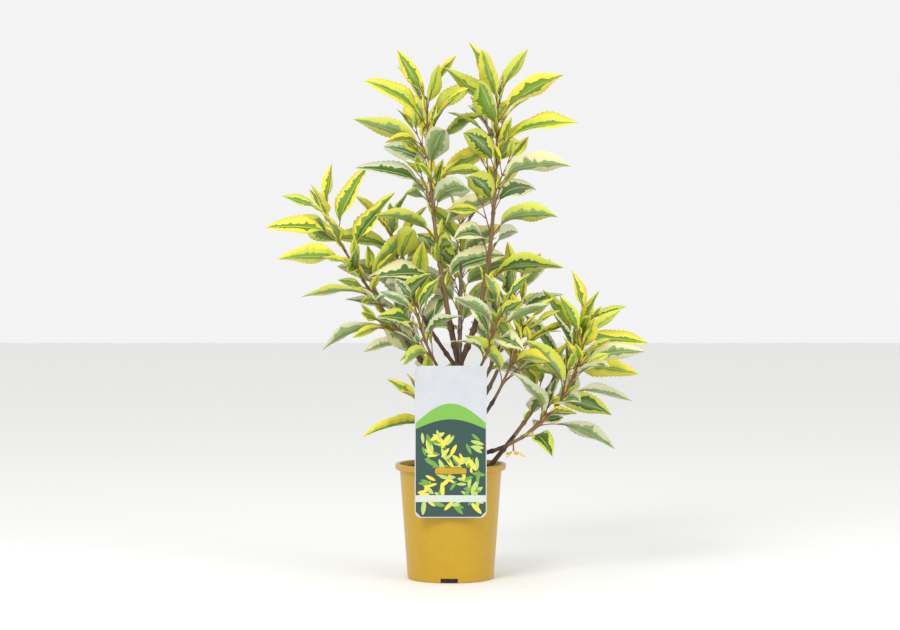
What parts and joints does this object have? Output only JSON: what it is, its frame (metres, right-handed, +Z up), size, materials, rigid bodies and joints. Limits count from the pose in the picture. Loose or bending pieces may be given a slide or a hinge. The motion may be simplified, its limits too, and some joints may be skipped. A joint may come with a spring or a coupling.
{
  "type": "potted forsythia",
  "caption": "Young variegated forsythia shrub with upright stems, opposite yellow-and-green leaves and one wilted flower, in a round nursery pot with a hanging card.",
  "frame": {"origin": "centre of the pot's flat underside", "axes": "+Z up the plant, -Y towards the front, where the label hangs, +X to the right of the front view"},
  "size_m": [0.5189, 0.3215, 0.7264],
  "materials": {
    "pot_plastic": "satin moulded",
    "potting_soil": "crumbly, matt",
    "label_card": "smooth printed card",
    "stem_bark": "fine bark with pores",
    "foliage": "semi-matt leaf"
  },
  "bodies": {
    "root": {"pot": "pot_plastic", "soil": "potting_soil", "label": "label_card", "trunk": "stem_bark", "centre_stub": "stem_bark", "right_stub": "stem_bark", "left_leader_bough": "stem_bark", "left_leader_leaves": "foliage", "right_leader_bough": "stem_bark", "right_leader_leaves": "foliage", "inner_left_bough": "stem_bark", "inner_left_leaves": "foliage", "far_left_bough": "stem_bark", "far_left_leaves": "foliage", "far_right_bough": "stem_bark", "far_right_leaves": "foliage", "low_right_bough": "stem_bark", "low_right_leaves": "foliage", "mid_right_bough": "stem_bark", "mid_right_leaves": "foliage", "low_left_bough": "stem_bark", "low_left_leaves": "foliage", "front_left_bough": "stem_bark", "front_left_leaves": "foliage", "front_right_bough": "stem_bark", "front_right_leaves": "foliage", "back_upper_bough": "stem_bark", "back_upper_leaves": "foliage", "back_left_bough": "stem_bark", "back_left_leaves": "foliage", "back_right_bough": "stem_bark", "back_right_leaves": "foliage"}
  },
  "joints": []
}
